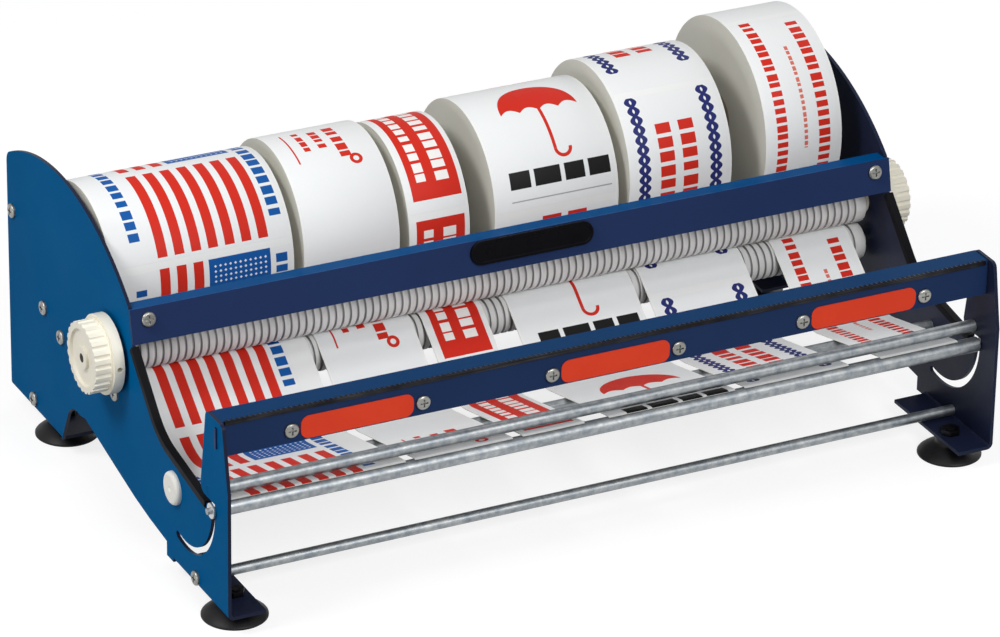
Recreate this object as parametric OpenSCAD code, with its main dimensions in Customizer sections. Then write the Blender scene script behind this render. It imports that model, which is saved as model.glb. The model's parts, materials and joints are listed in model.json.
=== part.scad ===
// Bench-top label dispenser: six rolls lie side by side in a cradle between two side plates.
// A ribbed roller with a knob at each end draws the label strips out below the top bar.

/* [Frame] */
// Width over the outer faces of the side plates
frame_w = 470; // [450:5:520]
// Thickness of the sheet metal
sheet = 2; // [1.5:0.1:2.5]
// Height of a suction cup, from the table to the plates' lower edge
cup_h = 10.5; // [9:0.5:13]
// Width of the flanges that the feet are fixed to
flange_w = 20; // [17:1:24]

/* [Rollers] */
// Radius of the ribbed feed roller that the knobs turn
feed_r = 12.5; // [11:0.1:13]
// Radius of the ribbed idler roller below it
idler_r = 10.9; // [10:0.1:11.5]
// Distance from one rib to the next
rib_pitch = 4.5; // [4:0.1:7]
// Depth of the grooves between the ribs
rib_depth = 1.5; // [0.8:0.1:2]
// Radius of a knob over its flange
knob_r = 22.5; // [20:0.5:24]
// Length of a knob
knob_l = 16; // [14:0.5:20]

/* [Rods] */
// Radius of the fixed peel rod under the tear bar
peel_r = 3.6; // [3.2:0.1:4]
// Radius of the swinging peel rod
swing_r = 4.3; // [3.5:0.1:5]
// Radius of the two cradle rods that carry the rolls
cradle_r = 5; // [4:0.1:6]
// Radius of the rear tie rods
tie_r = 4; // [3:0.1:5]
// Radius of the thin front tie rod and of the strip support rod
thin_r = 3; // [2.6:0.1:3.5]

/* [Rolls] */
// Radius of roll 1, at the left
roll_1_r = 48; // [45:0.5:60]
// Width of roll 1
roll_1_w = 107.5; // [60:0.5:108]
// Radius of roll 2
roll_2_r = 49.5; // [45:0.5:60]
// Width of roll 2
roll_2_w = 58.5; // [30:0.5:63]
// Radius of roll 3
roll_3_r = 48.5; // [45:0.5:60]
// Width of roll 3
roll_3_w = 37.5; // [20:0.5:50]
// Radius of roll 4
roll_4_r = 50.5; // [45:0.5:60]
// Width of roll 4
roll_4_w = 78; // [40:1:82]
// Radius of roll 5
roll_5_r = 54; // [45:0.5:60]
// Width of roll 5
roll_5_w = 65.5; // [40:0.5:78]
// Radius of roll 6, at the right
roll_6_r = 59; // [45:0.5:65]
// Width of roll 6
roll_6_w = 49.5; // [30:0.5:52]
// Inner radius of the cardboard cores
core_r = 12.7; // [10:0.1:30]
// Wall of the cardboard cores
core_wall = 2.5; // [1.5:0.1:4]
// Thickness of a label strip with its backing
strip_t = 0.4; // [0.3:0.05:0.5]

/* [Hidden] */
$fn = 48;

paint_blue = "#0b4a82";
black = "#141416";
bright = "#c9ccd0";
cream = "#eee8d8";
grey_rubber = "#b9b9b6";
white_paper = "#f2f1ec";
card_brown = "#b08a5c";
patch_red = "#d63a26";

// Outlines are drawn as (y, z): y runs back from the front edge, z up, with the plates' lower edge at foot_z.
// The whole part is set down by table_z at the end, so that the cups stand on z = 0.
frame_d = 302;
foot_z = 15;
table_z = foot_z - cup_h;
outer_x = frame_w / 2;
inner_x = outer_x - sheet;
run_gap = 0.3;

// Axes of everything that runs from plate to plate
feed_at = [152, 105.5];
nip_gap = strip_t + 2 * run_gap;
nip_turn = -97;
idler_at = feed_at + (feed_r + nip_gap + idler_r) * [cos(nip_turn), sin(nip_turn)];
lower_cradle_at = [225, 81];
upper_cradle_at = [250, 88];
rear_upper_at = [294, 129];
rear_lower_at = [267, 23];
front_tie_at = [41, 21];
support_at = [69.7, 61.6];
upper_peel_at = [24, 82];
swing_pivot = [56, 71.4];
swing_arm = 37.5;
swing_travel = 105;
swing_rest_a = 177.7;
swing_at = swing_pivot + swing_arm * [cos(swing_rest_a), sin(swing_rest_a)];

// Side plate: the top is one long arc, and the front edge drops behind the top bar to the slope
top_arc_at = [230, 30];
top_arc_r = 150;
arc_front_y = 130;
arc_front_a = acos((arc_front_y - top_arc_at[0]) / top_arc_r);
rear_corner_r = 8;
rear_corner_y = frame_d - rear_corner_r;
rear_corner_a = acos((rear_corner_y - top_arc_at[0]) / (top_arc_r - rear_corner_r));
rear_corner_z = top_arc_at[1] + (top_arc_r - rear_corner_r) * sin(rear_corner_a);
bar_top = top_arc_at + top_arc_r * [cos(arc_front_a), sin(arc_front_a)];
slope_a = 46;
sill_a = 9.4;
slope_bend_r = 40;
slope_meets_sill = [88.5, 83.2];
bar_foot_y = 125.5;
bar_foot = slope_meets_sill + (bar_foot_y - slope_meets_sill[0]) * [1, tan(slope_a)];
slope_bend_t = slope_bend_r * tan((slope_a - sill_a) / 2);
slope_dir = [cos(slope_a), sin(slope_a)];
sill_dir = [cos(sill_a), sin(sill_a)];
slope_end = slope_meets_sill + slope_bend_t * slope_dir;
slope_bend_at = slope_end + slope_bend_r * [-sin(slope_a), cos(slope_a)];
sill_front = slope_meets_sill - 68 * sill_dir;
horn_top_z = 128;
horn_low_z = 77.2;
front_foot_end = 81;
front_flange_end = 72;
rear_foot_start = 228;
flange_x = outer_x - flange_w - sheet;
foot_bend_r = 3.5;

// Curved slot that the swinging rod's ends run in
slot_half = 2.1;
swing_pin_r = 1.8;

// How far the strip support rod goes into its end caps
support_in_cap = 1.6;

// Fasteners
shank_r = 1.95;
screw_hole_r = 2.05;
head_r = 4.2;
head_h = 2.1;
head_round = 1.2;
rod_tap_depth = 9;
plate_screw_at = [rear_upper_at, rear_lower_at, lower_cradle_at, upper_cradle_at, front_tie_at, idler_at];

// Bearings and knobs of the rollers
shaft_r = 5;
bush_r = 8;
bush_flange_r = 10.5;
bush_flange_t = 1.9;
bush_bore = shaft_r + 0.05;
knob_x = outer_x + bush_flange_t + 0.6;
knob_flange_t = 6;
knob_body_r = knob_r - 2.2;
flutes = 24;
sleeve_end = 4;
idler_axle_r = 4;
idler_bore = idler_axle_r + 0.06;
set_screw_r = 1.5;

// Top bar, square to the plates' front edge
bar_dir = (bar_top - bar_foot) / norm(bar_top - bar_foot);
bar_lean = atan2(bar_dir[1], bar_dir[0]);
bar_out = [-bar_dir[1], bar_dir[0]];
bar_rise = -1;
bar_flange_y = 137.5;
bar_screw_in = 10;
bar_screw_up = 13;
bar_tab_up = [3, 16.5];
badge_w = 76;
badge_h = 13.5;
badge_x = 6;
badge_up = 12.5;
badge_t = 2;

// Tear bar between the horns
tear_y = 13;
tear_low_z = 106.5;
tear_high_z = 127.5;
tear_back_y = 27;
tear_tab_z = [112, 124];
tear_screw_z = 114;
tear_screw_pitch = 77;
blade_t = 1.2;
blade_low_z = 125.2;
tooth_pitch = 3;
tooth_h = 0.9;
patch_w = 66;
patch_h = 13.4;
patch_t = 0.7;

// Suction feet
cup_x = outer_x - 14;
front_cup_y = 23;
rear_cup_y = 254;
cup_r = 18.3;
stud_r = 3;
stud_sunk = 5;
nut_r = 5.8;
nut_h = 3.2;
stud_past_nut = 0.5;

// Rolls lie on the feed roller and the lower cradle rod
roll_r = [roll_1_r, roll_2_r, roll_3_r, roll_4_r, roll_5_r, roll_6_r];
roll_w = [roll_1_w, roll_2_w, roll_3_w, roll_4_w, roll_5_w, roll_6_w];
roll_left = [-230.5, -117.5, -53, -0.5, 83.5, 169.5];
rest_gap = 0.4;

// Centre of the circle of radius r0 about p0 and r1 about p1, on the upper side
function meet(p0, r0, p1, r1) =
  let (d = norm(p1 - p0), u = (p1 - p0) / d, a = (r0 * r0 - r1 * r1 + d * d) / (2 * d))
  p0 + a * u + sqrt(r0 * r0 - a * a) * [-u[1], u[0]];
function roll_at(i) =
  meet(feed_at, feed_r + nip_gap + roll_r[i], lower_cradle_at, cradle_r + rest_gap + roll_r[i]);

function arc(c, r, a0, a1, n = 12) =
  [for (i = [0:n]) c + r * [cos(a0 + (a1 - a0) * i / n), sin(a0 + (a1 - a0) * i / n)]];
function backwards(p) = [for (i = [len(p) - 1:-1:0]) p[i]];

// Label strip: round the back of the feed roller and over the idler,
// down into a slack bend and up to the peel rods
bend_at = [93.6, 90.5];
bend_r = 30;
strip_mid = run_gap + strip_t / 2;
strip_over_peel_a = 106;
idler_to_bend = bend_at - idler_at;
fall_a = asin((idler_r + strip_mid + bend_r) / norm(idler_to_bend))
  - atan2(idler_to_bend[1], -idler_to_bend[0]);
bend_to_peel = swing_at - bend_at;
rise_a = asin((swing_r + strip_mid + bend_r) / norm(bend_to_peel))
  - atan2(-bend_to_peel[1], -bend_to_peel[0]);
// One face of the strip of roll i, s above its middle
function strip_face(i, s) =
  let (v = roll_at(i) - feed_at)
  concat(
    arc(feed_at, feed_r + strip_mid - s, atan2(v[1], v[0]), nip_turn, 16),
    arc(idler_at, idler_r + strip_mid + s, nip_turn + 180, 90 + fall_a, 8),
    arc(bend_at, bend_r - s, fall_a - 90, -90 - rise_a, 10),
    arc(swing_at, swing_r + strip_mid + s, 90 - rise_a, strip_over_peel_a, 8)
  );

// Edge of the slope and the sill below it, moved out by d, short of both ends by from and to
function slope_edge(d, from = 0, to = 0) =
  let (out = [-sin(slope_a), cos(slope_a)], sill_out = [-sin(sill_a), cos(sill_a)])
  concat(
    [bar_foot - from * slope_dir + d * out],
    arc(slope_bend_at, slope_bend_r - d, slope_a - 90, sill_a - 90, 10),
    [sill_front + to * sill_dir + d * sill_out]
  );

// Extrudes a (y, z) outline from x0 to x1
module across(x0, x1) {
  translate([x0, -frame_d / 2, 0])
    rotate([90, 0, 90])
      linear_extrude(x1 - x0)
        children();
}

// Round bar along x on the axis p
module bar_x(p, r, x0, x1) {
  translate([x0, p[0] - frame_d / 2, p[1]])
    rotate([0, 90, 0])
      cylinder(r = r, h = x1 - x0);
}

// Puts a shape that stands on z = 0 on the axis p at x, pointing outwards on that side
module outwards(p, x, side) {
  translate([side * x, p[0] - frame_d / 2, p[1]])
    rotate([0, side * 90, 0])
      children();
}

module on_side(side) {
  mirror([side > 0 ? 1 : 0, 0, 0])
    children();
}

// Pan head screw with a cross recess: the head stands on z = 0, the shank goes down
module pan_screw(shank_l) {
  difference() {
    union() {
      rotate_extrude()
        polygon(concat(
          [[0, 0], [head_r, 0]],
          arc([head_r - head_round, head_h - head_round], head_round, 0, 90, 4),
          [[0, head_h]]
        ));
      translate([0, 0, -shank_l])
        cylinder(r = shank_r, h = shank_l + 0.1);
    }
    for (a = [0, 90])
      rotate([0, 0, a])
        translate([-head_r * 0.55, -0.45, head_h - 1])
          cube([head_r * 1.1, 0.9, 2]);
  }
}

module plate_outline() {
  difference() {
    polygon(concat(
      [[frame_d, foot_z + foot_bend_r]],
      arc([rear_corner_y, rear_corner_z], rear_corner_r, 0, rear_corner_a, 6),
      arc(top_arc_at, top_arc_r, rear_corner_a + 1, arc_front_a, 30),
      slope_edge(0),
      [[15.3, 72]],
      arc([16.5, horn_low_z - 1.2], 1.2, 180, 90, 4),
      arc([30, horn_low_z + 5], 5, -90, 0, 4),
      arc([25, horn_top_z - 3.5], 3.5, 12, 90, 4),
      arc([10, horn_top_z - 3.5], 3.5, 90, 168, 4),
      [[0, 90], [0, foot_z + foot_bend_r], [front_flange_end, foot_z + foot_bend_r]],
      [[front_flange_end, foot_z], [front_foot_end, foot_z], [front_foot_end, 23.5]],
      [[104, 26], [124, 29.2], [150, 35], [193, 45]],
      arc([205, 29], 15, 105, 20, 8),
      [[rear_foot_start, foot_z], [rear_foot_start, foot_z + foot_bend_r]]
    ));
    polygon(concat(
      arc(swing_pivot, swing_arm + slot_half, 174, 180 + swing_travel, 24),
      backwards(arc(swing_pivot, swing_arm - slot_half, 174, 180 + swing_travel, 24))
    ));
    translate(swing_pivot + swing_arm * [cos(180 + swing_travel), sin(180 + swing_travel)])
      circle(r = slot_half);
    for (p = plate_screw_at)
      translate(p)
        circle(r = screw_hole_r);
    translate(feed_at)
      circle(r = bush_r);
    translate(support_at)
      circle(r = thin_r);
    translate(upper_peel_at)
      circle(r = thin_r);
    translate([tear_y - 0.15, tear_tab_z[0] - 0.15])
      square([sheet + 0.3, tear_tab_z[1] - tear_tab_z[0] + 0.3]);
  }
}

// Point on the top bar's back face, up from its foot
function bar_back(up) = bar_foot + up * bar_dir;

// Foot flange with its bend, along y over a run of the plate's lower edge
module foot_flange(run) {
  foot_bend_at = [foot_bend_r - outer_x, foot_z + foot_bend_r];
  translate([0, run[1] - frame_d / 2, 0])
    rotate([90, 0, 0])
      linear_extrude(run[1] - run[0])
        polygon(concat(
          arc(foot_bend_at, foot_bend_r, 180, 270, 6),
          [[-flange_x, foot_z], [-flange_x, foot_z + sheet]],
          arc(foot_bend_at, foot_bend_r - sheet, 270, 180, 6)
        ));
}

module side_plate() {
  color(paint_blue) difference() {
    union() {
      across(-outer_x, -inner_x) plate_outline();
      foot_flange([0, front_flange_end]);
      foot_flange([rear_foot_start, frame_d]);
      across(-inner_x, -flange_x)
        polygon(concat(
          [for (up = bar_tab_up) bar_back(up)],
          [for (up = backwards(bar_tab_up)) bar_back(up) - sheet * bar_out]
        ));
    }
    for (y = [front_cup_y, rear_cup_y])
      translate([-cup_x, y - frame_d / 2, foot_z - 1])
        cylinder(r = stud_r, h = sheet + 2);
    on_bar(-outer_x + bar_screw_in, bar_screw_up, -4)
      cylinder(r = screw_hole_r, h = 4.1);
  }
}

// Local frame on the top bar: z points out of its face, y up along it
module on_bar(x, up, out) {
  p = bar_back(up) + out * bar_out;
  translate([x, p[0] - frame_d / 2, p[1]])
    rotate([bar_lean, 0, 0])
      children();
}

module edge_trim() {
  wall = 1.3;
  grip = 3;
  start = 1.5;
  end = 6;
  color(black) difference() {
    across(-outer_x - wall, -inner_x + wall)
      polygon(concat(slope_edge(wall, start, end), backwards(slope_edge(-grip, start, end))));
    across(-outer_x, -inner_x)
      polygon(concat(
        slope_edge(0, start - 1, end - 1),
        backwards(slope_edge(-grip - 1, start - 1, end - 1))
      ));
  }
}

module top_bar() {
  top = bar_back(norm(bar_top - bar_foot) + bar_rise);
  color(paint_blue) difference() {
    union() {
      across(-outer_x, outer_x)
        polygon([bar_foot, top, top + sheet * bar_out, bar_foot + sheet * bar_out]);
      across(-inner_x + 0.1, inner_x - 0.1)
        polygon([top, [bar_flange_y, top[1]], [bar_flange_y, top[1] - sheet], top - sheet * bar_dir]);
    }
    for (side = [-1, 1])
      on_bar(side * (outer_x - bar_screw_in), bar_screw_up, -1)
        cylinder(r = screw_hole_r, h = sheet + 2);
  }
}

module top_bar_badge() {
  straight = badge_w - badge_h;
  rim = 1.6;
  color(black) on_bar(badge_x, badge_up, sheet)
    difference() {
      linear_extrude(badge_t) {
        square([straight, badge_h], center = true);
        for (side = [-1, 1])
          translate([side * straight / 2, 0])
            circle(d = badge_h);
      }
      translate([0, 0, badge_t - 0.5])
        linear_extrude(1) {
          square([straight, badge_h - 2 * rim], center = true);
          for (side = [-1, 1])
            translate([side * straight / 2, 0])
              circle(d = badge_h - 2 * rim);
        }
    }
}

module top_bar_screws() {
  color(bright)
    for (side = [-1, 1])
      on_bar(side * (outer_x - bar_screw_in), bar_screw_up, sheet)
        pan_screw(8);
}

module tear_bar() {
  half = inner_x - 0.1;
  color(paint_blue) difference() {
    union() {
      across(-half, half)
        polygon([
          [tear_y, tear_low_z], [tear_y, tear_high_z], [tear_back_y, tear_high_z],
          [tear_back_y, tear_high_z - sheet], [tear_y + sheet, tear_high_z - sheet],
          [tear_y + sheet, tear_low_z]
        ]);
      for (x = [-outer_x - 1, half - 0.5])
        translate([x, tear_y - frame_d / 2, tear_tab_z[0]])
          cube([outer_x + 1.5 - half, sheet, tear_tab_z[1] - tear_tab_z[0]]);
    }
    tear_screw_places()
      translate([0, 0, -sheet - 1])
        cylinder(r = screw_hole_r, h = sheet + 2);
  }
}

// Six places on the tear bar's face, with z pointing forwards
module tear_screw_places() {
  for (i = [-2.5:1:2.5])
    translate([i * tear_screw_pitch, tear_y - frame_d / 2, tear_screw_z])
      rotate([90, 0, 0])
        children();
}

module tear_blade() {
  teeth = floor(2 * (inner_x - 2) / tooth_pitch);
  half = teeth * tooth_pitch / 2;
  color(bright) translate([0, tear_y - frame_d / 2, 0])
    rotate([90, 0, 0])
      linear_extrude(blade_t)
        polygon(concat(
          [[half, blade_low_z]],
          [for (i = [teeth - 1:-1:0], k = [1, 0.5])
            [-half + (i + k) * tooth_pitch, tear_high_z + (k == 1 ? 0 : tooth_h)]],
          [[-half, tear_high_z], [-half, blade_low_z]]
        ));
}

module tear_bar_screws() {
  color(bright) tear_screw_places() pan_screw(7);
}

module tear_bar_patches() {
  corner = 5;
  color(patch_red)
    for (i = [-1:1])
      translate([2 * i * tear_screw_pitch, tear_y - frame_d / 2, tear_screw_z])
        rotate([90, 0, 0])
          linear_extrude(patch_t) {
            square([patch_w - 2 * corner, patch_h], center = true);
            square([patch_w, patch_h - 2 * corner], center = true);
            for (sx = [-1, 1], sz = [-1, 1])
              translate([sx * (patch_w / 2 - corner), sz * (patch_h / 2 - corner)])
                circle(r = corner);
          }
}

module upper_peel_rod() {
  color(bright) {
    bar_x(upper_peel_at, peel_r, -inner_x, inner_x);
    bar_x(upper_peel_at, thin_r, -outer_x, outer_x);
  }
}

module strip_support_rod() {
  color(bright) bar_x(support_at, thin_r, -outer_x - support_in_cap, outer_x + support_in_cap);
}

// Domed nylon caps that hold the strip support rod's ends
module support_rod_caps() {
  cap_r = 9.5;
  cap_h = 3.2;
  cap_round = 2.2;
  dimple = 0.7;
  dimple_r = 3;
  color(cream)
    for (side = [-1, 1])
      outwards(support_at, outer_x, side)
        difference() {
          rotate_extrude()
            polygon(concat(
              [[0, 0], [cap_r, 0]],
              arc([cap_r - cap_round, cap_h - cap_round], cap_round, 0, 90, 6),
              [[0, cap_h]]
            ));
          translate([0, 0, -1])
            cylinder(r = thin_r, h = 1 + support_in_cap);
          translate([0, 0, cap_h + dimple_r - dimple])
            sphere(r = dimple_r);
        }
}

// Rod from plate to plate, tapped at both ends for a screw
module tapped_rod(p, r) {
  difference() {
    bar_x(p, r, -inner_x, inner_x);
    for (side = [-1, 1])
      outwards(p, inner_x - rod_tap_depth, side)
        cylinder(r = shank_r + 0.05, h = rod_tap_depth + 1);
  }
}

module front_tie_rod() {
  color(bright) tapped_rod(front_tie_at, thin_r);
}

module rear_lower_tie_rod() {
  color(bright) tapped_rod(rear_lower_at, tie_r);
}

module rear_upper_tie_rod() {
  color(bright) tapped_rod(rear_upper_at, tie_r);
}

module lower_cradle_rod() {
  color(bright) tapped_rod(lower_cradle_at, cradle_r);
}

module upper_cradle_rod() {
  color(bright) tapped_rod(upper_cradle_at, cradle_r);
}

module idler_axle() {
  color(bright) tapped_rod(idler_at, idler_axle_r);
}

module plate_screws(side) {
  color(bright)
    for (p = plate_screw_at)
      outwards(p, outer_x, side)
        pan_screw(sheet + rod_tap_depth - 1);
}

// Flanged plastic bushes that the feed shaft turns in
module feed_bushes() {
  inside = 1.5;
  color(cream)
    for (side = [-1, 1])
      outwards(feed_at, inner_x - inside, side)
        difference() {
          union() {
            cylinder(r = bush_r, h = sheet + inside + bush_flange_t);
            translate([0, 0, sheet + inside])
              cylinder(r = bush_flange_r, h = bush_flange_t);
          }
          translate([0, 0, -1])
            cylinder(r = bush_bore, h = 12);
        }
}

// Flattened suction cup, hollow below its lip
module cup(side, y) {
  lip_in = cup_r - 2.3;
  lip_h = 1.3;
  hollow = 2.4;
  neck_r = 8;
  neck_low = cup_h - 2.6;
  color(black) translate([side * cup_x, y - frame_d / 2, table_z])
    rotate_extrude()
      polygon([
        [0, hollow], [0, cup_h - stud_sunk], [stud_r, cup_h - stud_sunk], [stud_r, cup_h], [neck_r, cup_h],
        [neck_r, neck_low], [neck_r + 2.4, neck_low - 1.4], [cup_r - 2.4, 3.2],
        [cup_r, lip_h], [cup_r, 0], [lip_in, 0], [neck_r - 1, hollow]
      ]);
}

module at_cups() {
  for (side = [-1, 1], y = [front_cup_y, rear_cup_y])
    translate([side * cup_x, y - frame_d / 2, 0])
      children();
}

module cup_studs() {
  stud_l = stud_sunk + sheet + nut_h + stud_past_nut;
  color(bright) at_cups()
    translate([0, 0, foot_z - stud_sunk])
      cylinder(r = stud_r, h = stud_l);
}

module cup_nuts() {
  color(bright) at_cups()
    translate([0, 0, foot_z + sheet])
      difference() {
        cylinder(r = nut_r, h = nut_h, $fn = 6);
        translate([0, 0, -1])
          cylinder(r = stud_r, h = nut_h + 2);
      }
}

module label_strip(i) {
  color(white_paper) across(roll_left[i], roll_left[i] + roll_w[i])
    polygon(concat(strip_face(i, strip_t / 2), backwards(strip_face(i, -strip_t / 2))));
}

module feed_shaft() {
  color(bright) bar_x(feed_at, shaft_r, -knob_x - knob_l + 3, knob_x + knob_l - 3);
}

// Ribbed rubber sleeve along x on the axis p
module ribbed_sleeve(p, r, bore, half) {
  ribs = floor((2 * half - rib_pitch) / rib_pitch);
  start = -ribs * rib_pitch / 2;
  groove_r = r - rib_depth;
  profile = concat(
    [[bore, -half], [r, -half]],
    [for (k = [0:ribs - 1], c = [[0.1, groove_r], [0.35, groove_r], [0.5, r], [0.95, r]])
      [c[1], start + (k + c[0]) * rib_pitch]],
    [[r, half], [bore, half]]
  );
  translate([0, p[0] - frame_d / 2, p[1]])
    rotate([0, 90, 0])
      rotate_extrude()
        polygon(profile);
}

module feed_sleeve() {
  color(grey_rubber) ribbed_sleeve(feed_at, feed_r, shaft_r, inner_x - sleeve_end);
}

module idler_sleeve() {
  color(grey_rubber) ribbed_sleeve(idler_at, idler_r, idler_bore, inner_x - sleeve_end);
}

module knob(side) {
  dish_r = knob_body_r - 4;
  dish = 1.6;
  boss_r = 6.5;
  end_wall = 3;
  color(cream) outwards(feed_at, knob_x, side)
    difference() {
      rotate_extrude()
        polygon([
          [shaft_r, 0], [knob_r, 0], [knob_r, knob_flange_t], [knob_body_r, knob_flange_t],
          [knob_body_r, knob_l], [dish_r, knob_l], [dish_r - 0.6, knob_l - dish],
          [boss_r, knob_l - dish], [boss_r, knob_l], [2.6, knob_l], [0, knob_l - 1.4],
          [0, knob_l - end_wall], [shaft_r, knob_l - end_wall]
        ]);
      for (k = [0:flutes - 1])
        rotate([0, 0, (k + 0.5) * 360 / flutes])
          translate([knob_body_r + 0.5, 0, knob_flange_t + 1])
            cylinder(r = 1.5, h = knob_l);
      translate([0, 0, knob_flange_t / 2])
        rotate([90, 0, 0])
          cylinder(r = set_screw_r, h = knob_r + 1);
    }
}

// Grub screws that lock the knobs on the shaft
module knob_set_screws() {
  color(bright)
    for (side = [-1, 1])
      outwards(feed_at, knob_x + knob_flange_t / 2, side)
        translate([0, -shaft_r, 0])
          rotate([90, 0, 0])
            difference() {
              cylinder(r = set_screw_r, h = 12);
              translate([0, 0, 10.5])
                cylinder(r = 0.8, h = 3, $fn = 6);
            }
}

module swing_peel_rod() {
  color(bright) {
    bar_x(swing_at, swing_r, -inner_x + 0.6, inner_x - 0.6);
    bar_x(swing_at, swing_pin_r, -outer_x - 4, outer_x + 4);
  }
}

// Spring clips that keep the swinging rod's ends in their slots
module swing_rod_clips() {
  clip_r = 4.4;
  color(bright)
    for (side = [-1, 1])
      outwards(swing_at, outer_x + 0.6, side)
        difference() {
          cylinder(r = clip_r, h = 1.2);
          translate([0, 0, -1])
            cylinder(r = swing_pin_r, h = 4);
        }
}

module ring(i, outer, inner) {
  p = roll_at(i);
  difference() {
    bar_x(p, outer, roll_left[i], roll_left[i] + roll_w[i]);
    bar_x(p, inner, roll_left[i] - 1, roll_left[i] + roll_w[i] + 1);
  }
}

module label_roll(i) {
  color(white_paper) ring(i, roll_r[i], core_r + core_wall);
}

module roll_core(i) {
  color(card_brown) ring(i, core_r + core_wall, core_r);
}

translate([0, 0, -table_z]) {
  side_plate();  // left_side_plate
  on_side(1) side_plate();  // right_side_plate
  edge_trim();  // left_edge_trim
  on_side(1) edge_trim();  // right_edge_trim
  top_bar();
  top_bar_badge();
  top_bar_screws();
  tear_bar();
  tear_blade();
  tear_bar_screws();
  tear_bar_patches();
  upper_peel_rod();
  strip_support_rod();
  support_rod_caps();
  front_tie_rod();
  rear_lower_tie_rod();
  rear_upper_tie_rod();
  lower_cradle_rod();
  upper_cradle_rod();
  idler_axle();
  plate_screws(-1);  // left_plate_screws
  plate_screws(1);  // right_plate_screws
  feed_bushes();
  cup(-1, front_cup_y);  // front_left_cup
  cup(1, front_cup_y);  // front_right_cup
  cup(-1, rear_cup_y);  // rear_left_cup
  cup(1, rear_cup_y);  // rear_right_cup
  cup_studs();
  cup_nuts();
  feed_shaft();
  feed_sleeve();
  knob(-1);  // left_knob
  knob(1);  // right_knob
  knob_set_screws();
  idler_sleeve();
  swing_peel_rod();
  swing_rod_clips();
  for (i = [0:5]) {
    label_strip(i);
    label_roll(i);
    roll_core(i);
  }
}
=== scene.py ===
import json
import math

import bmesh
import bpy
from mathutils import Matrix, Vector


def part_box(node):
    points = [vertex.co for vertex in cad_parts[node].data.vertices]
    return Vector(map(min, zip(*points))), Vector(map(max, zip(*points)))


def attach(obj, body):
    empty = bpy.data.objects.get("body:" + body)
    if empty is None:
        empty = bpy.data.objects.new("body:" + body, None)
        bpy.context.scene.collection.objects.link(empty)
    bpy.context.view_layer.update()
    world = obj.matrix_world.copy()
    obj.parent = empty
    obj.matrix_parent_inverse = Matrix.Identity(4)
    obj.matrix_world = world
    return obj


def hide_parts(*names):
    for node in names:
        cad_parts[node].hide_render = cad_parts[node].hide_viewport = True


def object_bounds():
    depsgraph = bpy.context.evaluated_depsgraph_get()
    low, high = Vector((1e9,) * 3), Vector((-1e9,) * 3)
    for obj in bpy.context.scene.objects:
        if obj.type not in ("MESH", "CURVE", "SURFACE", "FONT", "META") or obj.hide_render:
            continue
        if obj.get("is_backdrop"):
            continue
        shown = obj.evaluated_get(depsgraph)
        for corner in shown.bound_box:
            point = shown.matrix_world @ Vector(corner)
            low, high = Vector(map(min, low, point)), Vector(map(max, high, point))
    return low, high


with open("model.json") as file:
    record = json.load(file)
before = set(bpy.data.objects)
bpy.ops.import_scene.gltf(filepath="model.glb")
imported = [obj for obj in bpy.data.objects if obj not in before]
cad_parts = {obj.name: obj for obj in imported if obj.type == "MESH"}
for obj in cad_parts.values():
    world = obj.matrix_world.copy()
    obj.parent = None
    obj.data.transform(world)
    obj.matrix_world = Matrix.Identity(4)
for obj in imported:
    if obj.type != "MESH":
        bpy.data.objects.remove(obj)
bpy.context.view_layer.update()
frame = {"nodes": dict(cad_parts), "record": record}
nodes = frame["nodes"]
scene = bpy.context.scene
scene.view_settings.view_transform = "Standard"
print("frame loaded,", len(nodes), "nodes")

# camera, set to the photograph's viewpoint
cameraSet = {
    "place": (-1.322858, -2.598421, 1.522431),
    "ahead": (0.40623, 0.79797, -0.44522),
    "roll": 1.03,
    "lens": 208.73,
    "sensor": 36.0,
    "far": 50.0,
}


def makeCamera(c):
    data = bpy.data.cameras.new("camera")
    data.lens = c["lens"]
    data.sensor_width = c["sensor"]
    data.clip_end = c["far"]
    cam = bpy.data.objects.new("camera", data)
    scene.collection.objects.link(cam)
    ahead = Vector(c["ahead"]).normalized()
    side = ahead.cross(Vector((0, 0, 1))).normalized()
    up = side.cross(ahead)
    a = math.radians(c["roll"])
    side, up = side * math.cos(a) + up * math.sin(a), up * math.cos(a) - side * math.sin(a)
    turn = Matrix((side, up, -ahead)).transposed().to_4x4()
    cam.matrix_world = Matrix.Translation(c["place"]) @ turn
    scene.camera = cam


makeCamera(cameraSet)

# small helpers for node trees
number = "NodeSocketFloat"
colour = "NodeSocketColor"


def feed(tree, socket, v):  # a colour, a number or a link
    if isinstance(v, tuple):
        socket.default_value = (*v, 1.0)
    elif isinstance(v, (int, float)):
        socket.default_value = v
    else:
        tree.links.new(v, socket)


def calc(tree, kind, a, b=None, c=None, clamp=False):
    n = tree.nodes.new("ShaderNodeMath")
    n.operation = kind
    n.use_clamp = clamp
    for i, v in enumerate((a, b, c)):
        if v is not None:
            feed(tree, n.inputs[i], v)
    return n.outputs[0]


def ramp(tree, x, gain, shift=0.0):  # straight line, held between 0 and 1
    return calc(tree, "MULTIPLY_ADD", x, gain, shift, True)


def away(tree, u, v, at):  # distance from a point
    du, dv = [calc(tree, "POWER", calc(tree, "SUBTRACT", x, c), 2.0) for x, c in zip((u, v), at)]
    return calc(tree, "SQRT", calc(tree, "ADD", du, dv))


def blendColor(tree, amount, first, second):
    n = tree.nodes.new("ShaderNodeMix")
    n.data_type = "RGBA"
    for i, v in ((0, amount), (6, first), (7, second)):
        feed(tree, n.inputs[i], v)
    return n.outputs[2]


def noise(tree, where, scale, detail=3.0, rough=0.5):
    n = tree.nodes.new("ShaderNodeTexNoise")
    tree.links.new(where, n.inputs["Vector"])
    for label, v in (("Scale", scale), ("Detail", detail), ("Roughness", rough)):
        feed(tree, n.inputs[label], v)
    return n.outputs[0]


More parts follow.
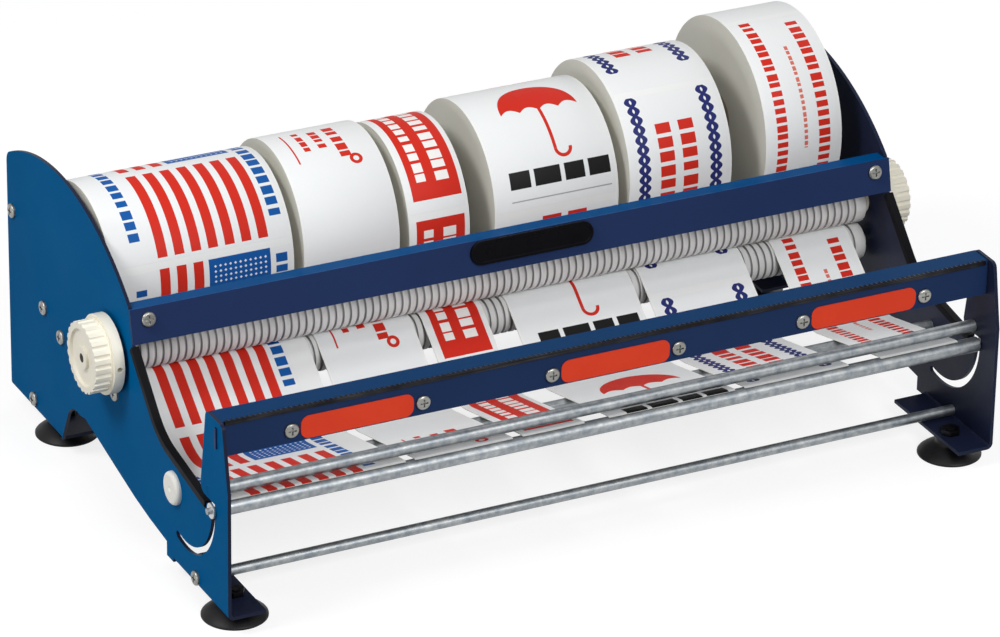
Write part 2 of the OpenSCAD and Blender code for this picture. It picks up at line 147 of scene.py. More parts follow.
def objectPlace(tree, scale=(1, 1, 1), shift=(0, 0, 0)):
    where = tree.nodes.new("ShaderNodeTexCoord").outputs["Object"]
    fit = tree.nodes.new("ShaderNodeMapping")
    fit.inputs["Location"].default_value = shift
    fit.inputs["Scale"].default_value = scale
    tree.links.new(where, fit.inputs["Vector"])
    return fit.outputs["Vector"]


def splitUp(tree, vector):
    n = tree.nodes.new("ShaderNodeSeparateXYZ")
    tree.links.new(vector, n.inputs["Vector"])
    return n.outputs


def newGroup(name, takes, **gives):
    g = bpy.data.node_groups.new(name, "ShaderNodeTree")
    for label, value in takes.items():
        kind = colour if isinstance(value, tuple) else number
        g.interface.new_socket(label, in_out="INPUT", socket_type=kind).default_value = value
    for label, kind in gives.items():
        g.interface.new_socket(label, in_out="OUTPUT", socket_type=kind)
    return g, g.nodes.new("NodeGroupInput").outputs, g.nodes.new("NodeGroupOutput").inputs


def useGroup(tree, group, **values):
    n = tree.nodes.new("ShaderNodeGroup")
    n.node_tree = group
    for label, v in values.items():
        feed(tree, n.inputs[label], v)
    return n.outputs


# slow drift between two tones, as in any sprayed or moulded surface
toneDrift, gi, go = newGroup("toneDrift", {"first": (0, 0, 0, 1), "second": (1, 1, 1, 1), "scale": 12.0},
                             tone=colour, share=number)
drift = noise(toneDrift, objectPlace(toneDrift), gi["scale"], detail=4.0, rough=0.6)
share = ramp(toneDrift, drift, gain=2.4, shift=-0.7)
toneDrift.links.new(blendColor(toneDrift, share, gi["first"], gi["second"]), go["tone"])
toneDrift.links.new(share, go["share"])

# finger marks and rubbed spots: a roughness between two values
markSet = {"aside": (0.31, 0.17, 0.05), "fineScale": 310.0, "fineShare": 0.35}
handMarks, gi, go = newGroup("handMarks", {"low": 0.3, "high": 0.5, "scale": 25.0}, rough=number)
broad = noise(handMarks, objectPlace(handMarks), gi["scale"], detail=5.0, rough=0.65)
fine = noise(handMarks, objectPlace(handMarks, shift=markSet["aside"]), markSet["fineScale"], detail=2.0)
both = calc(handMarks, "MULTIPLY_ADD", fine, markSet["fineShare"], broad)
share = ramp(handMarks, both, gain=1.6, shift=-0.62)
span = calc(handMarks, "SUBTRACT", gi["high"], gi["low"])
handMarks.links.new(calc(handMarks, "MULTIPLY_ADD", span, share, gi["low"]), go["rough"])

# skin: fine even grain for bump
skin, gi, go = newGroup("skin", {"scale": 900.0}, height=number)
skin.links.new(noise(skin, objectPlace(skin), gi["scale"], detail=2.0), go["height"])

# drawn: fine lines along x, as on bright bar
drawn, gi, go = newGroup("drawn", {"scale": 1400.0}, lines=number)
drawn.links.new(noise(drawn, objectPlace(drawn, scale=(0.012, 1, 1)), gi["scale"], rough=0.6), go["lines"])

# specks: sparse marks, for chipped edges and dust
speckSet = {"aside": (0.4, 0.2, 0.7), "broadScale": 28.0, "broadShare": 0.6,
            "edge": 1.18, "amountShare": 0.6}
specks, gi, go = newGroup("specks", {"scale": 220.0, "amount": 0.4}, mask=number)
fine = noise(specks, objectPlace(specks), gi["scale"], detail=4.0, rough=0.7)
broad = noise(specks, objectPlace(specks, shift=speckSet["aside"]), speckSet["broadScale"], detail=2.0)
both = calc(specks, "MULTIPLY_ADD", broad, speckSet["broadShare"], fine)
lower = calc(specks, "MULTIPLY", gi["amount"], speckSet["amountShare"])
edge = calc(specks, "SUBTRACT", speckSet["edge"], lower)
specks.links.new(ramp(specks, calc(specks, "SUBTRACT", both, edge), gain=14.0), go["mask"])

# printing: a box, a broken bar and a twisted border, in millimetres across and along the strip
onStrip = {"u": 0.0, "v": 0.0}
boxEnds = {"u0": 0.0, "u1": 10.0, "v0": 0.0, "v1": 10.0}
inkEdge = 6.0


def within(tree, x, low, high):
    a = ramp(tree, calc(tree, "SUBTRACT", x, low), inkEdge)
    b = ramp(tree, calc(tree, "SUBTRACT", high, x), inkEdge)
    return calc(tree, "MULTIPLY", a, b)


def inBox(tree, g):
    across = within(tree, g["u"], g["u0"], g["u1"])
    return calc(tree, "MULTIPLY", across, within(tree, g["v"], g["v0"], g["v1"]))


printBox, gi, go = newGroup("printBox", {**onStrip, **boxEnds}, mask=number)
printBox.links.new(inBox(printBox, gi), go["mask"])

# filled share of the pitch, and how sharp a bar starts and ends
barSet = {"least": 0.58, "more": 0.3, "startEdge": 60.0, "endEdge": 40.0}
printBars, gi, go = newGroup("printBars", {**onStrip, **boxEnds, "pitch": 9.0, "seed": 0.0}, mask=number)
step = calc(printBars, "DIVIDE", calc(printBars, "SUBTRACT", gi["v"], gi["v0"]), gi["pitch"])
chance = printBars.nodes.new("ShaderNodeTexWhiteNoise")
chance.noise_dimensions = "1D"
printBars.links.new(calc(printBars, "ADD", calc(printBars, "FLOOR", step), gi["seed"]), chance.inputs["W"])
full = calc(printBars, "MULTIPLY_ADD", chance.outputs["Value"], barSet["more"], barSet["least"])
part = calc(printBars, "FRACT", step)
end = ramp(printBars, calc(printBars, "SUBTRACT", full, part), barSet["endEdge"])
bar = calc(printBars, "MULTIPLY", end, ramp(printBars, part, barSet["startEdge"]))
printBars.links.new(calc(printBars, "MULTIPLY", inBox(printBars, gi), bar), go["mask"])

ropeSet = {"twist": 0.55, "swing": 2.3, "strand": 1.7, "edge": 5.0}
printRope, gi, go = newGroup("printRope", {**onStrip, "middle": 8.0, "v0": 0.0, "v1": 60.0}, mask=number)
wave = calc(printRope, "SINE", calc(printRope, "MULTIPLY", gi["v"], ropeSet["twist"]))
wave = calc(printRope, "MULTIPLY", wave, ropeSet["swing"])
off = calc(printRope, "SUBTRACT", gi["u"], gi["middle"])
strands = [calc(printRope, "ABSOLUTE", calc(printRope, k, off, wave)) for k in ("SUBTRACT", "ADD")]
near = calc(printRope, "MINIMUM", strands[0], strands[1])
ink = ramp(printRope, calc(printRope, "SUBTRACT", ropeSet["strand"], near), ropeSet["edge"])
run = within(printRope, gi["v"], gi["v0"], gi["v1"])
printRope.links.new(calc(printRope, "MULTIPLY", ink, run), go["mask"])

# fibre: paper tooth, as a tone and a height
fibreSet = {"cloudScale": 26.0, "cloudShare": 0.6, "toothShare": 0.4}
fibre, gi, go = newGroup("fibre", {"scale": 500.0}, tone=number, height=number)
tooth = noise(fibre, objectPlace(fibre), gi["scale"], detail=4.0, rough=0.6)
cloud = noise(fibre, objectPlace(fibre), fibreSet["cloudScale"], detail=2.0)
low = calc(fibre, "MULTIPLY", tooth, fibreSet["toothShare"])
fibre.links.new(calc(fibre, "MULTIPLY_ADD", cloud, fibreSet["cloudShare"], low), go["tone"])
fibre.links.new(tooth, go["height"])
print("node groups built")


def newMaterial(name):
    m = bpy.data.materials.new(name)
    m.use_nodes = True
    t = m.node_tree
    t.nodes.clear()
    out = t.nodes.new("ShaderNodeOutputMaterial")
    bsdf = t.nodes.new("ShaderNodeBsdfPrincipled")
    t.links.new(bsdf.outputs["BSDF"], out.inputs["Surface"])
    return m, t, bsdf


def setBump(t, bsdf, height, distance, strength):
    b = t.nodes.new("ShaderNodeBump")
    b.inputs["Strength"].default_value = strength
    b.inputs["Distance"].default_value = distance
    t.links.new(height, b.inputs["Height"])
    t.links.new(b.outputs["Normal"], bsdf.inputs["Normal"])


def drifting(t, tones, scale):
    return useGroup(t, toneDrift, first=tones[0], second=tones[1], scale=scale)["tone"]


def marked(t, rough, scale):
    return useGroup(t, handMarks, low=rough[0], high=rough[1], scale=scale)["rough"]


def coat(t, bsdf, tone, rough, shine, grain, depth):
    t.links.new(tone, bsdf.inputs["Base Color"])
    t.links.new(rough, bsdf.inputs["Roughness"])
    bsdf.inputs["Specular IOR Level"].default_value = shine
    setBump(t, bsdf, useGroup(t, skin, scale=grain)["height"], depth, 0.5)


paintSet = {  # what all paints share
    "drift": 9.0, "marks": 22.0, "grain": 700.0, "depth": 0.00006,
    "chipScale": 160.0, "chipTone": (0.30, 0.34, 0.40),
    "dustScale": 420.0, "dustAmount": 0.2, "dustShare": 0.12, "dustTone": (0.5, 0.5, 0.5),
    "upGain": 1.4, "upShift": -0.32,
}


def paint(name, d):
    m, t, bsdf = newMaterial(name)
    s = paintSet
    tone = drifting(t, d["tones"], s["drift"])
    if "upper" in d:  # painted light: bluer where the bent sheet looks up, as if lit from above
        way = splitUp(t, t.nodes.new("ShaderNodeNewGeometry").outputs["Normal"])
        tone = blendColor(t, ramp(t, way["Z"], s["upGain"], s["upShift"]), tone, d["upper"])
    else:
        if "chips" in d:
            worn = useGroup(t, specks, scale=s["chipScale"], amount=d["chips"])["mask"]
            tone = blendColor(t, worn, tone, s["chipTone"])
        dust = useGroup(t, specks, scale=s["dustScale"], amount=s["dustAmount"])["mask"]
        tone = blendColor(t, calc(t, "MULTIPLY", dust, s["dustShare"]), tone, s["dustTone"])
    coat(t, bsdf, tone, marked(t, d["rough"], s["marks"]), d["shine"], s["grain"], s["depth"])
    return m


metalSet = {  # what all metals share
    "drift": 40.0, "marks": 60.0, "streakGain": 1.6, "streakShift": -0.5, "depth": 0.00003, "strength": 0.45,
    "lineRough": 0.10, "patchScale": 220.0, "patchShare": 0.75,
}


def metal(name, d):
    m, t, bsdf = newMaterial(name)
    s = metalSet
    grain = useGroup(t, drawn, scale=d["lines"])["lines"]
    streak = ramp(t, grain, s["streakGain"], s["streakShift"])
    tone = blendColor(t, streak, d["tones"][0], drifting(t, d["tones"], s["drift"]))
    if "patch" in d:  # uneven plating
        uneven = useGroup(t, toneDrift, scale=s["patchScale"])["share"]
        tone = blendColor(t, calc(t, "MULTIPLY", uneven, s["patchShare"]), tone, d["patch"])
    t.links.new(tone, bsdf.inputs["Base Color"])
    base = calc(t, "SUBTRACT", marked(t, d["rough"], s["marks"]), s["lineRough"] / 2)
    t.links.new(calc(t, "MULTIPLY_ADD", grain, s["lineRough"], base), bsdf.inputs["Roughness"])
    bsdf.inputs["Metallic"].default_value = 1.0
    setBump(t, bsdf, grain, s["depth"], s["strength"])
    return m


plasticSet = {"drift": 30.0, "marks": 45.0, "grain": 1300.0, "depth": 0.00005}  # grain where none is given


def plastic(name, d):
    m, t, bsdf = newMaterial(name)
    s = {**plasticSet, **d}
    tone = drifting(t, s["tones"], s["drift"])
    coat(t, bsdf, tone, marked(t, s["rough"], s["marks"]), s["shine"], s["grain"], s["depth"])
    return m


paints = {
    "bluePaint": {"tones": ((0.000, 0.090, 0.250), (0.000, 0.104, 0.285)),
                  "rough": (0.34, 0.48), "shine": 0.004},
    # bars: one blue paint, with navy fronts as painted shade and bluer upward faces as painted light
    "topBarPaint": {"tones": ((0.016, 0.032, 0.098), (0.019, 0.037, 0.112)),
                    "rough": (0.34, 0.48), "shine": 0.04, "upper": (0.0, 0.060, 0.20)},
    "tearBarPaint": {"tones": ((0.015, 0.034, 0.102), (0.018, 0.040, 0.118)),
                     "rough": (0.34, 0.48), "shine": 0.04, "upper": (0.0, 0.032, 0.110)},
    "blueEdge": {"tones": ((0.002, 0.085, 0.24), (0.004, 0.098, 0.27)),
                 "rough": (0.32, 0.48), "shine": 0.12, "chips": 0.45},
    "navyEdge": {"tones": ((0.010, 0.045, 0.150), (0.012, 0.052, 0.170)),
                 "rough": (0.32, 0.48), "shine": 0.16, "chips": 0.45},
    # painted shade: the plates' blue paint darkened to navy for their inner faces, which the lamps barely
    # reach
    "navyPaintedShade": {"tones": ((0.008, 0.011, 0.030), (0.010, 0.014, 0.038)),
                 "rough": (0.36, 0.52), "shine": 0.12},
}
metals = {
    "brightRod": {"tones": ((0.34, 0.352, 0.355), (0.64, 0.65, 0.655)),
                  "rough": (0.38, 0.56), "lines": 1400.0, "patch": (0.12, 0.155, 0.19)},
    "zincScrew": {"tones": ((0.24, 0.24, 0.225), (0.46, 0.46, 0.44)),
                  "rough": (0.28, 0.44), "lines": 900.0},
    "clipSteel": {"tones": ((0.50, 0.50, 0.49), (0.74, 0.74, 0.73)),
                  "rough": (0.30, 0.46), "lines": 900.0},
    "blackZinc": {"tones": ((0.012, 0.012, 0.015), (0.045, 0.046, 0.052)),
                  "rough": (0.34, 0.50), "lines": 900.0},
    "bladeSteel": {"tones": ((0.010, 0.010, 0.012), (0.09, 0.09, 0.095)),
                   "rough": (0.25, 0.45), "lines": 1800.0},
}
plastics = {
    "creamPlastic": {"tones": ((0.82, 0.78, 0.65), (0.87, 0.83, 0.72)),
                     "rough": (0.34, 0.50), "shine": 0.3},
    # painted shade: near-black for the knob's central dimple, standing in for the shade inside it
    "knobPaintedShade": {"tones": ((0.050, 0.046, 0.038), (0.075, 0.070, 0.058)),
                   "rough": (0.50, 0.70), "shine": 0.1},
    "capNylon": {"tones": ((0.80, 0.79, 0.73), (0.86, 0.85, 0.80)),
                 "rough": (0.32, 0.48), "shine": 0.3},
    "ribRubber": {"tones": ((0.62, 0.62, 0.61), (0.74, 0.74, 0.73)),
                  "rough": (0.50, 0.70), "shine": 0.2, "grain": 900.0, "depth": 0.0001},
    # painted shade: darker grey on the groove floors, standing in for the shade in the grooves
    "ribGrooveShade": {"tones": ((0.36, 0.36, 0.36), (0.45, 0.45, 0.45)),
                  "rough": (0.60, 0.80), "shine": 0.1, "grain": 900.0, "depth": 0.0001},
    "blackRubber": {"tones": ((0.004, 0.004, 0.005), (0.009, 0.009, 0.010)),
                    "rough": (0.38, 0.56), "shine": 0.2, "grain": 800.0, "depth": 0.0001},
    "trimBlack": {"tones": ((0.003, 0.003, 0.004), (0.007, 0.007, 0.009)),
                  "rough": (0.46, 0.62), "shine": 0.05, "grain": 800.0, "depth": 0.0001},
    "badgeBlack": {"tones": ((0.002, 0.002, 0.003), (0.004, 0.004, 0.005)),
                   "rough": (0.22, 0.38), "shine": 0.07},
    "redFilm": {"tones": ((0.80, 0.058, 0.022), (0.87, 0.066, 0.026)),
                "rough": (0.40, 0.55), "shine": 0.12, "grain": 600.0, "depth": 0.00004},
}
finish = {}
for make, table in ((paint, paints), (metal, metals), (plastic, plastics)):
    for name, d in table.items():
        finish[name] = make(name, d)
print("paints, metals and plastics built")

# papers: label length with its gap, where the print starts, how far the strip runs off its line (mm)
rollSet = [
    {"pitch": 109.0, "start": -34.0, "astray": 11.0},
    {"pitch": 120.5, "start": 12.5, "astray": 0.0},
    {"pitch": 104.7, "start": -32.0, "astray": 0.0},
    {"pitch": 107.3, "start": -23.0, "astray": 0.0},
    {"pitch": 133.7, "start": -80.0, "astray": 0.0},
    {"pitch": 152.0, "start": -119.0, "astray": 0.0},
]
for k, r in enumerate(rollSet):
    low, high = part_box("label_roll_%d" % (k + 1))
    r["left"], r["wide"], r["r"] = low.x * 1000, (high.x - low.x) * 1000, (high.z - low.z) * 500
    r["at"] = ((low.y + high.y) / 2, (low.z + high.z) / 2)
inkRed = (0.60, 0.026, 0.014)
inkBlue = (0.006, 0.090, 0.34)
inkNavy = (0.020, 0.026, 0.140)
inkBlack = (0.007, 0.007, 0.007)
inkGrey = (0.36, 0.36, 0.37)
signEdge = 4.0


def boxInk(t, ink, u, v, across, along):
    return ink, useGroup(t, printBox, u=u, v=v, u0=across[0], u1=across[1], v0=along[0], v1=along[1])["mask"]


def barInk(t, ink, u, v, across, along, pitch, seed):
    bars = useGroup(t, printBars, u=u, v=v, u0=across[0], u1=across[1], v0=along[0], v1=along[1],
                    pitch=pitch, seed=seed)
    return ink, bars["mask"]


stripeSet = {
    "first": 27.5, "step": 10.0, "wide": 6.0,
    "count": 7, "long": (46.0, 103.0),
    "shortCount": 3, "short": (0.0, 39.0),
    "field": ((56.5, 93.5), (0.0, 38.0)),
    "dotField": ((58.5, 91.5), (2.5, 35.5)), "dotPitch": 3.0, "dotShift": 4.1, "dotSize": 0.95,
    "dotTone": (0.72, 0.78, 0.86),
    "bars": [((96.5, 103.5), (4.0, 92.0), 7.0, 0.0), ((13.0, 19.5), (10.0, 92.0), 7.0, 4.0)],
}


def stripePrint(t, u, v):
    s = stripeSet
    inks = []
    for i in range(s["count"]):  # stripes run the strip's way
        a = s["first"] + s["step"] * i
        across = (a, a + s["wide"])
        inks.append(boxInk(t, inkRed, u, v, across, s["long"]))
        if i < s["shortCount"]:
            inks.append(boxInk(t, inkRed, u, v, across, s["short"]))
    inks.append(boxInk(t, inkBlue, u, v, *s["field"]))
    du = calc(t, "PINGPONG", calc(t, "ADD", u, s["dotShift"]), s["dotPitch"])
    dv = calc(t, "PINGPONG", v, s["dotPitch"])
    du, dv = [calc(t, "ABSOLUTE", calc(t, "SUBTRACT", x, s["dotPitch"] / 2)) for x in (du, dv)]
    dot = ramp(t, calc(t, "SUBTRACT", s["dotSize"], calc(t, "ADD", du, dv)), signEdge)
    tone, field = boxInk(t, s["dotTone"], u, v, *s["dotField"])
    inks.append((tone, calc(t, "MULTIPLY", dot, field)))
    return inks + [barInk(t, inkBlue, u, v, *b) for b in s["bars"]]


slipSet = {
    "bars": [((17.0, 21.0), (0.0, 24.0), 6.0, 1.0), ((26.0, 31.0), (2.0, 22.0), 5.0, 2.0),
             ((35.5, 42.0), (0.0, 30.0), 6.5, 3.0)],
    "line": ((10.0, 11.2), (0.0, 30.0)),
    "ringAt": (43.5, 32.5), "ring": (1.6, 3.8),
}


def slipPrint(t, u, v):
    s = slipSet
    inks = [barInk(t, inkRed, u, v, *b) for b in s["bars"]]
    inks.append(boxInk(t, inkRed, u, v, *s["line"]))
    inks.append((inkRed, within(t, away(t, u, v, s["ringAt"]), *s["ring"])))
    return inks


panelSet = {
    "panel": ((4.5, 34.5), (0.0, 93.7)),
    "bars": [((9.0, 15.0), (6.0, 84.0), 6.6, 5.0), ((21.0, 29.0), (6.0, 84.0), 6.6, 6.0)],
    "barTone": (0.86, 0.84, 0.82),
}


def panelPrint(t, u, v):
    s = panelSet
    return [boxInk(t, inkRed, u, v, *s["panel"])] + [barInk(t, s["barTone"], u, v, *b) for b in s["bars"]]


shelterSet = {
    "at": (43.0, 46.0), "dome": (-1.0, 24.0), "scallopTurn": 0.262, "scallop": -3.2,
    "stick": ((41.9, 44.1), (44.0, 72.0)),
    "hookAt": (47.6, 72.0), "hook": (3.5, 5.7), "hookFrom": 71.8,
    "blocks": [(11.0, 24.0), (26.5, 43.0), (45.5, 58.0), (60.5, 74.0)], "blockRun": (81.0, 91.0),
    "rule": ((11.0, 74.0), (97.5, 98.4)),
    "foot": [(30.0, 42.0), (46.0, 58.0)], "footRun": (2.0, 7.0),
}


def shelterPrint(t, u, v):  # umbrella sign over a heavy bar
    s = shelterSet
    turn = calc(t, "MULTIPLY", calc(t, "SUBTRACT", u, s["at"][0]), s["scallopTurn"])
    hem = calc(t, "MULTIPLY_ADD", calc(t, "ABSOLUTE", calc(t, "SINE", turn)), s["scallop"], s["at"][1])
    above = ramp(t, calc(t, "SUBTRACT", hem, v), signEdge)
    dome = calc(t, "MULTIPLY", within(t, away(t, u, v, s["at"]), *s["dome"]), above)
    below = ramp(t, calc(t, "SUBTRACT", v, s["hookFrom"]), signEdge)
    hook = calc(t, "MULTIPLY", within(t, away(t, u, v, s["hookAt"]), *s["hook"]), below)
    inks = [(inkRed, dome), boxInk(t, inkRed, u, v, *s["stick"]), (inkRed, hook)]
    inks += [boxInk(t, inkBlack, u, v, across, s["blockRun"]) for across in s["blocks"]]
    inks.append(boxInk(t, inkGrey, u, v, *s["rule"]))
    return inks + [boxInk(t, inkRed, u, v, across, s["footRun"]) for across in s["foot"]]


borderSet = {
    "ropes": (10.0, 55.5), "ropeRun": (0.0, 114.0),
    "bars": [((20.0, 29.5), (18.0, 98.0), 8.2, 7.0), ((34.5, 44.0), (18.0, 98.0), 8.2, 9.0)],
}


def ropePrint(t, u, v):
    a, b = borderSet["ropeRun"]
    ropes = [useGroup(t, printRope, u=u, v=v, middle=m, v0=a, v1=b)["mask"] for m in borderSet["ropes"]]
    return [(inkNavy, rope) for rope in ropes] + [barInk(t, inkRed, u, v, *b) for b in borderSet["bars"]]


columnSet = {
    "bars": [((7.5, 14.5), (0.0, 112.0), 5.0, 11.0), ((34.5, 42.0), (6.0, 118.0), 5.4, 12.0)],
    "fine": ((25.0, 27.4), (24.0, 86.0), 3.4, 13.0), "fineTone": (0.66, 0.16, 0.12),
}


def columnPrint(t, u, v):
    s = columnSet
    return [barInk(t, inkRed, u, v, *b) for b in s["bars"]] + [barInk(t, s["fineTone"], u, v, *s["fine"])]


paperSet = {
    "fibre": 520.0, "rough": (0.46, 0.62), "marks": 30.0,
    "label": ((0.77, 0.785, 0.79), (0.83, 0.845, 0.85)), "gap": (0.82, 0.83, 0.82), "shine": 0.12,
    "side": ((0.56, 0.55, 0.49), (0.66, 0.65, 0.59)), "layer": (0.44, 0.43, 0.37), "layers": 2600.0,
    "board": ((0.26, 0.19, 0.12), (0.34, 0.26, 0.17)), "seam": (0.20, 0.145, 0.085),
    "seams": (160.0, 12.0, 12.0),
    "back": ((0.76, 0.75, 0.70), (0.82, 0.81, 0.76)),
}
# margin and gap round a label, mm; turns keep the running length positive
stickerSet = {"margin": 1.6, "start": -9.0, "gap": 4.0, "turns": 20}


def paperBase(t, bsdf, tones):
    f = useGroup(t, fibre, scale=paperSet["fibre"])
    t.links.new(marked(t, paperSet["rough"], paperSet["marks"]), bsdf.inputs["Roughness"])
    return blendColor(t, f["tone"], *tones), f["height"]


def labelMaterial(name, design, roll):
    m, t, bsdf = newMaterial(name)
    s = stickerSet
    tone, tooth = paperBase(t, bsdf, paperSet["label"])
    lay = t.nodes.new("ShaderNodeUVMap")
    lay.uv_map = "run"
    place = splitUp(t, lay.outputs["UV"])
    u = calc(t, "MULTIPLY", place["X"], 1000.0)
    along = calc(t, "MULTIPLY_ADD", place["Y"], 1000.0, s["turns"] * roll["pitch"] - roll["start"])
    v = calc(t, "MODULO", along, roll["pitch"])
    across = (s["margin"], roll["wide"] - s["margin"])
    sticker = boxInk(t, tone, u, v, across, (s["start"], roll["pitch"] - s["gap"]))[1]
    tone = blendColor(t, sticker, paperSet["gap"], tone)  # backing shows between the labels
    for ink, mask in design(t, u, v):
        tone = blendColor(t, mask, tone, ink)
    t.links.new(tone, bsdf.inputs["Base Color"])
    bsdf.inputs["Specular IOR Level"].default_value = paperSet["shine"]
    setBump(t, bsdf, calc(t, "MULTIPLY_ADD", tooth, 0.25, sticker), 0.0001, 0.5)
    return m


def woundSide(name, roll):
    m, t, bsdf = newMaterial(name)
    place = splitUp(t, objectPlace(t, shift=(0, -roll["at"][0], -roll["at"][1])))
    line = t.nodes.new("ShaderNodeTexNoise")
    line.noise_dimensions = "1D"
    line.inputs["Scale"].default_value = paperSet["layers"]
    line.inputs["Detail"].default_value = 3.0
    t.links.new(away(t, place["Y"], place["Z"], (0.0, 0.0)), line.inputs["W"])
    tone = paperBase(t, bsdf, paperSet["side"])[0]
    tone = blendColor(t, calc(t, "MULTIPLY", line.outputs[0], 0.5), tone, paperSet["layer"])
    t.links.new(tone, bsdf.inputs["Base Color"])
    setBump(t, bsdf, line.outputs[0], 0.00012, 0.6)
    return m


def cardboard(name):
    m, t, bsdf = newMaterial(name)
    tone, tooth = paperBase(t, bsdf, paperSet["board"])
    seam = noise(t, objectPlace(t, scale=paperSet["seams"]), 1.0, detail=2.0)
    tone = blendColor(t, calc(t, "MULTIPLY", seam, 0.45), tone, paperSet["seam"])
    t.links.new(tone, bsdf.inputs["Base Color"])
    setBump(t, bsdf, tooth, 0.0001, 0.5)
    return m


def linerBack(name):
    m, t, bsdf = newMaterial(name)
    tone, tooth = paperBase(t, bsdf, paperSet["back"])
    t.links.new(tone, bsdf.inputs["Base Color"])
    setBump(t, bsdf, tooth, 0.00006, 0.4)
    return m


# pieces
bodyOf = {n: b for b, names in frame["record"]["behaviour"]["bodies"].items() for n in names}
slotOf = {s["node"]: s["material_slot"] for s in frame["record"]["subparts"]}


def middle(node):  # centre in metres, half size in millimetres
    low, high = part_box(node)
    return (low + high) / 2, (high - low) * 500


def cornerNormals(bm, limit):  # weighed by area, so that broad flat faces stay flat
    bm.normal_update()
    size = {f: f.calc_area() for f in bm.faces}
    out = []
    for f in bm.faces:
        for corner in f.loops:
            mix = Vector()
            for g in corner.vert.link_faces:
                if g.normal.dot(f.normal) > limit:
                    mix += g.normal * size[g]
            out.append(mix.normalized() if mix.length else f.normal.copy())
    return out


def addPiece(node, word, bm, mats, sharp=34.0, weigh=False):
    name = node.replace("_", "-") + "-" + word
    body, slot, stands = bodyOf[node], slotOf[node], [node]
    for f in bm.faces:
        f.smooth = True
    for e in bm.edges:
        e.smooth = len(e.link_faces) == 2 and e.calc_face_angle(0.0) < math.radians(sharp)
    normals = cornerNormals(bm, math.cos(math.radians(sharp))) if weigh else None
    mesh = bpy.data.meshes.new(name)
    bm.to_mesh(mesh)
    bm.free()
    if normals:
        mesh.normals_split_custom_set(normals)
    piece = bpy.data.objects.new(name, mesh)
    scene.collection.objects.link(piece)
    for m in mats:
        mesh.materials.append(m)
    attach(piece, body)
    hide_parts(*stands)
    return piece


# finish, finish of the broken edges, their width, width of a rounder fold, other finishes for faces that
# look one way, finish and radius of the painted shade in a hollow on the axis (mm)
rigidSet = {
    # plates: blue only on the faces that look outward; the rest has the dark navy copy of the paint as
    # painted shade
    "left_side_plate": {"main": "navyPaintedShade", "edge": "blueEdge", "soft": 0.30,
                        "facing": [((-1, 0, 0), "bluePaint")]},
    "right_side_plate": {"main": "navyPaintedShade", "edge": "blueEdge", "soft": 0.30,
                         "facing": [((1, 0, 0), "bluePaint")]},
    "top_bar": {"main": "topBarPaint", "edge": "navyEdge", "soft": 0.40, "bend": 1.6},
    "tear_bar": {"main": "tearBarPaint", "edge": "navyEdge", "soft": 0.40},
    "left_edge_trim": {"main": "trimBlack", "soft": 0.45},
    "right_edge_trim": {"main": "trimBlack", "soft": 0.45},
    "top_bar_badge": {"main": "badgeBlack", "soft": 0.35},
    "tear_bar_patches": {"main": "redFilm", "soft": 0.15},
    "tear_blade": {"main": "bladeSteel", "soft": 0.06},
    "top_bar_screws": {"main": "zincScrew", "soft": 0.12},
    "tear_bar_screws": {"main": "zincScrew", "soft": 0.12},
    "left_plate_screws": {"main": "zincScrew", "soft": 0.12},
    "right_plate_screws": {"main": "zincScrew", "soft": 0.12},
    "cup_studs": {"main": "blackZinc", "soft": 0.25},
    "cup_nuts": {"main": "blackZinc", "soft": 0.25},
    "knob_set_screws": {"main": "zincScrew", "soft": 0.10},
    "swing_rod_clips": {"main": "clipSteel", "soft": 0.15},
    "left_knob": {"main": "creamPlastic", "soft": 0.45, "hollow": ("knobPaintedShade", 2.7)},
    "right_knob": {"main": "creamPlastic", "soft": 0.45, "hollow": ("knobPaintedShade", 2.7)},
    "support_rod_caps": {"main": "capNylon", "soft": 0.30},
    "feed_bushes": {"main": "creamPlastic", "soft": 0.30},
    "upper_peel_rod": {"main": "brightRod", "soft": 0.25,
                       "facing": [((-1, 0, 0), "bluePaint"), ((1, 0, 0), "bluePaint")]},
    "strip_support_rod": {"main": "brightRod", "soft": 0.25},
    "front_tie_rod": {"main": "brightRod", "soft": 0.20},
    "rear_lower_tie_rod": {"main": "brightRod", "soft": 0.20},
    "rear_upper_tie_rod": {"main": "brightRod", "soft": 0.20},
    "lower_cradle_rod": {"main": "brightRod", "soft": 0.20},
    "upper_cradle_rod": {"main": "brightRod", "soft": 0.20},
    "idler_axle": {"main": "brightRod", "soft": 0.20},
    "feed_shaft": {"main": "brightRod", "soft": 0.25},
    "swing_peel_rod": {"main": "brightRod", "soft": 0.30},
}
edgeSet = {"merge": 2e-6, "flat": 0.5, "hard": 36.0, "facing": 0.7, "foldUp": 0.95, "foldFront": -0.9}


def breakEdges(bm, edges, width, segments):
    made = bmesh.ops.bevel(bm, geom=edges, offset=width * 0.001, offset_type="OFFSET", affect="EDGES",
                           segments=segments, profile=0.5, material=-1, clamp_overlap=True)
    return made["faces"]


def softened(node, d):  # merged copy of the solid with its sharp edges broken
    bm = bmesh.new()
    bm.from_mesh(nodes[node].data)
    bmesh.ops.remove_doubles(bm, verts=bm.verts, dist=edgeSet["merge"])
    bmesh.ops.dissolve_limit(bm, angle_limit=math.radians(edgeSet["flat"]), verts=bm.verts, edges=bm.edges)
    for f in bm.faces:
        f.material_index = 0
    if "bend" in d:  # the fold between front and top is rounder than a cut edge
        fold = [e for e in bm.edges if len(e.link_faces) == 2
                and max(f.normal.z for f in e.link_faces) > edgeSet["foldUp"]
                and min(f.normal.y for f in e.link_faces) < edgeSet["foldFront"]]
        breakEdges(bm, fold, d["bend"], 5)
    hard = [e for e in bm.edges if len(e.link_faces) == 2
            and e.calc_face_angle(0.0) > math.radians(edgeSet["hard"])]
    for f in breakEdges(bm, hard, d["soft"], 2):
        f.material_index = 1 if "edge" in d else 0
    return bm


